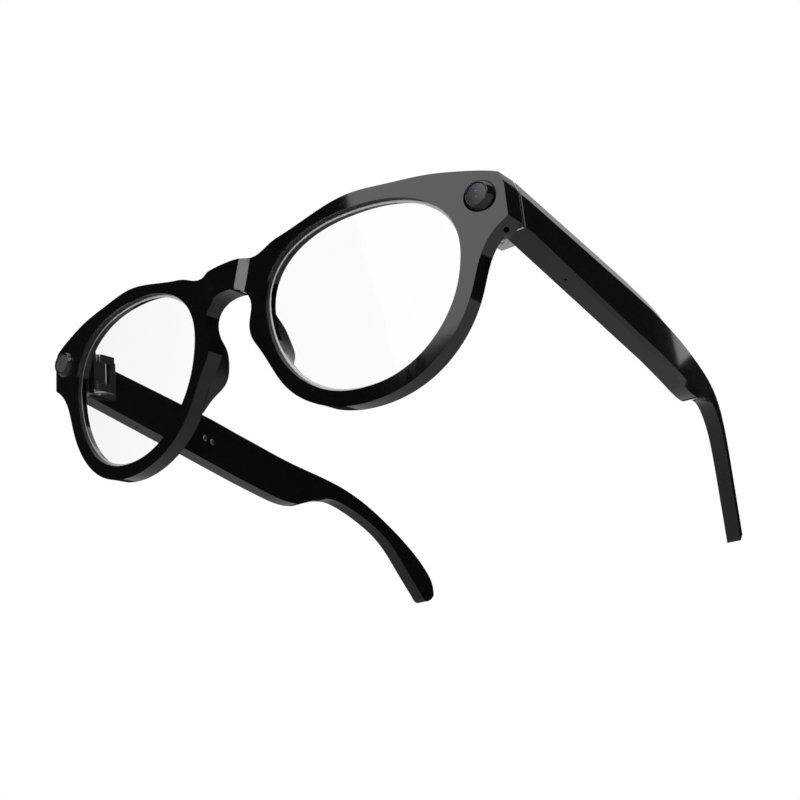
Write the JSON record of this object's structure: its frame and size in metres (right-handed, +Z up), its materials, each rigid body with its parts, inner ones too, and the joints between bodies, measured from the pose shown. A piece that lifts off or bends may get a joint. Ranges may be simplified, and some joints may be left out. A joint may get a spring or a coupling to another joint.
{
  "type": "smart glasses",
  "caption": "Black plastic camera glasses with clear round lenses, a camera and an indicator light in the endpieces, and thick folding temples that hold the electronics.",
  "frame": {"origin": "middle of the bottom of the bounding box, on the surface that the rims and the ear tips rest on", "axes": "+Z up, +Y from the front back along the temples, +X towards the wearer's left; the glasses tip forward 7.0 degrees about X so that both rims and both ear tips touch z = 0"},
  "size_m": [0.1458, 0.1608, 0.0493],
  "materials": {
    "gloss_black": "polished injection-moulded nylon, gloss black",
    "barrel_black": "moulded black polycarbonate, gloss",
    "dark_glass": "tinted cover glass with a thin coating",
    "smoked_cover": "smoked diffuser, satin grey",
    "clear_lens": "clear polycarbonate with a hard coat, polished edge",
    "stack_black": "black moulded lens housing",
    "board_green": "circuit board, satin solder mask",
    "flex_amber": "polyimide film, satin",
    "mic_steel": "drawn metal can",
    "fine_mesh": "woven acoustic mesh, black nickel",
    "hinge_steel": "machined stainless steel, fine brushed",
    "screw_steel": "nickel-plated steel",
    "core_wire": "drawn nickel-silver strip",
    "battery_foil": "laminated aluminium pouch",
    "speaker_black": "moulded speaker box, satin",
    "touch_film": "flexible sensor film, satin",
    "contact_nickel": "nickel-plated brass, polished"
  },
  "bodies": {
    "front": {"camera_barrel": "barrel_black", "camera_board": "board_green", "camera_flex": "flex_amber", "camera_lens_stack": "stack_black", "camera_window": "dark_glass", "front_frame": "gloss_black", "front_mic_mesh": "fine_mesh", "front_microphone": "mic_steel", "hinge_plate_left": "hinge_steel", "hinge_plate_right": "hinge_steel", "led_barrel": "barrel_black", "led_board": "board_green", "led_flex": "flex_amber", "led_window": "smoked_cover", "lens_left": "clear_lens", "lens_right": "clear_lens", "nose_pad_left": "gloss_black", "nose_pad_right": "gloss_black", "plate_screws_left": "screw_steel", "plate_screws_right": "screw_steel"},
    "temple_left": {"battery_left": "battery_foil", "circuit_board_left": "board_green", "hinge_leaf_left": "hinge_steel", "leaf_screws_left": "screw_steel", "pivot_screw_left": "screw_steel", "speaker_left": "speaker_black", "speaker_mesh_left": "fine_mesh", "temple_cover_left": "gloss_black", "temple_microphone_left": "mic_steel", "temple_shell_left": "gloss_black", "tip_core_left": "core_wire", "touch_strip_left": "touch_film"},
    "temple_right": {"battery_right": "battery_foil", "charging_contacts": "contact_nickel", "circuit_board_right": "board_green", "hinge_leaf_right": "hinge_steel", "leaf_screws_right": "screw_steel", "pivot_screw_right": "screw_steel", "speaker_mesh_right": "fine_mesh", "speaker_right": "speaker_black", "temple_cover_right": "gloss_black", "temple_microphone_right": "mic_steel", "temple_shell_right": "gloss_black", "tip_core_right": "core_wire"}
  },
  "joints": [
    {"name": "hinge_left", "type": "hinge", "parent": "front", "child": "temple_left", "pos_m": [0.06435, -0.06139, 0.03891], "axis": [0, -0.1217, 0.9926], "range_deg": [0, 88]},
    {"name": "hinge_right", "type": "hinge", "parent": "front", "child": "temple_right", "pos_m": [-0.06435, -0.06139, 0.03891], "axis": [0, 0.1217, -0.9926], "range_deg": [0, 78]}
  ]
}
